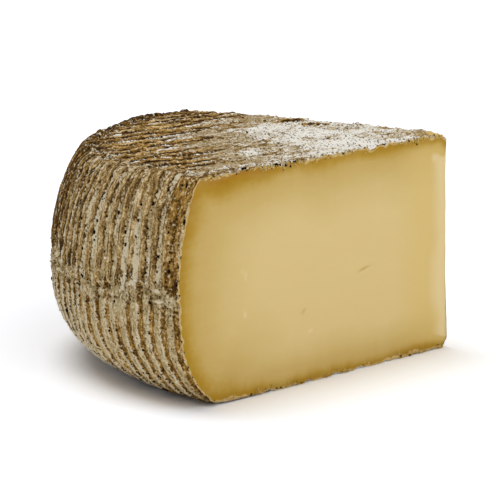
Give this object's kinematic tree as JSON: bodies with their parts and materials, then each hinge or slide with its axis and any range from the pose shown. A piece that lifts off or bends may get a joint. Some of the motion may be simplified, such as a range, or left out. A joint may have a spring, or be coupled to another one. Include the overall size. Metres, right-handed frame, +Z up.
{
  "type": "cheese wedge",
  "caption": "Quarter of a large wheel of hard cheese, cut faces bare, with a ridged mould-dusted rind on its top, rim and underside.",
  "frame": {"origin": "centre of the bounding box on the flat underside", "axes": "+Z is up along the wheel's axis; the wedge's tip points to +X and its rim to -X, so the two cut faces look towards -Y and +Y, each turned 45 degrees towards +X"},
  "size_m": [0.164, 0.2326, 0.09],
  "materials": {
    "paste": "satin, slightly waxy cut cheese",
    "rind": "dry, ridged brown rind dusted with grey-white mould"
  },
  "bodies": {
    "root": {"cheese_wedge": "paste"}
  },
  "joints": []
}
